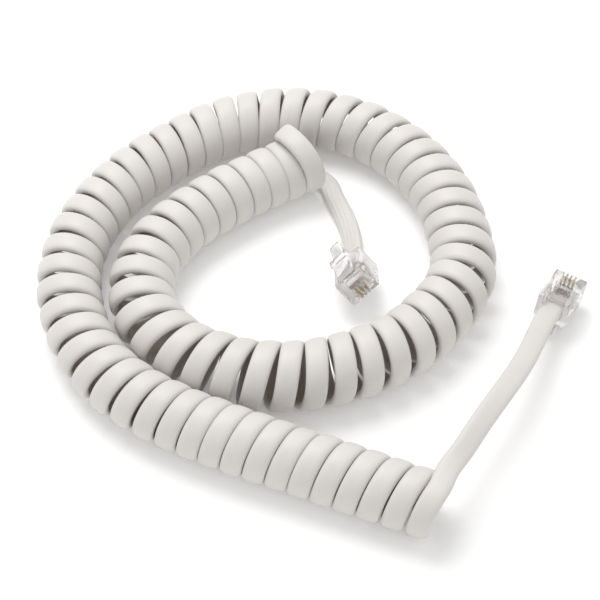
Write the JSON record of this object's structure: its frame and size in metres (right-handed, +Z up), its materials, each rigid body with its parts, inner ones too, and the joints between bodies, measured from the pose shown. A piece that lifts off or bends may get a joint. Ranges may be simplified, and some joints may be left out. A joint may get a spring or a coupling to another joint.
{
  "type": "telephone handset cord",
  "caption": "Coiled white telephone handset cord laid in a loose spiral, with a straight lead and a clear 4P4C modular plug on each end.",
  "frame": {"origin": "on the table under the middle of the laid-out cord's bounding box", "axes": "+Z up from the table; +X towards the base plug's side of the spiral; +Y away from the coil's base end"},
  "size_m": [0.1268, 0.1301, 0.0163],
  "materials": {
    "cord_jacket": "smooth off-white flexible PVC, satin",
    "clear_plug": "clear moulded polycarbonate",
    "gold_contact": "gold-plated phosphor bronze, polished",
    "black_insulation": "conductor insulation",
    "red_insulation": "conductor insulation",
    "green_insulation": "conductor insulation",
    "yellow_insulation": "conductor insulation"
  },
  "bodies": {
    "cord_and_plugs": {"coil_cord": "cord_jacket", "base_lead": "cord_jacket", "handset_lead": "cord_jacket", "base_plug_body": "clear_plug", "base_jacket_clamp": "clear_plug", "base_wire_clamp": "clear_plug", "base_jacket_end": "cord_jacket", "base_conductor_black": "black_insulation", "base_contact_1": "gold_contact", "base_conductor_red": "red_insulation", "base_contact_2": "gold_contact", "base_conductor_green": "green_insulation", "base_contact_3": "gold_contact", "base_conductor_yellow": "yellow_insulation", "base_contact_4": "gold_contact", "handset_plug_body": "clear_plug", "handset_jacket_clamp": "clear_plug", "handset_wire_clamp": "clear_plug", "handset_jacket_end": "cord_jacket", "handset_conductor_black": "black_insulation", "handset_contact_1": "gold_contact", "handset_conductor_red": "red_insulation", "handset_contact_2": "gold_contact", "handset_conductor_green": "green_insulation", "handset_contact_3": "gold_contact", "handset_conductor_yellow": "yellow_insulation", "handset_contact_4": "gold_contact"},
    "base_latch": {"base_latch_lever": "clear_plug"},
    "handset_latch": {"handset_latch_lever": "clear_plug"}
  },
  "joints": [
    {"name": "base_latch_flex", "type": "hinge", "parent": "cord_and_plugs", "child": "base_latch", "pos_m": [0.05862, 0.00428, 0.00076], "axis": [-0.8754, 0.4808, 0.0506], "range_deg": [0, 9], "stiffness_Nm_per_rad": 0.2},
    {"name": "handset_latch_flex", "type": "hinge", "parent": "cord_and_plugs", "child": "handset_latch", "pos_m": [0.00743, 0.00243, 0.01194], "axis": [-0.7193, -0.3045, -0.6244], "range_deg": [0, 13], "stiffness_Nm_per_rad": 0.2}
  ]
}
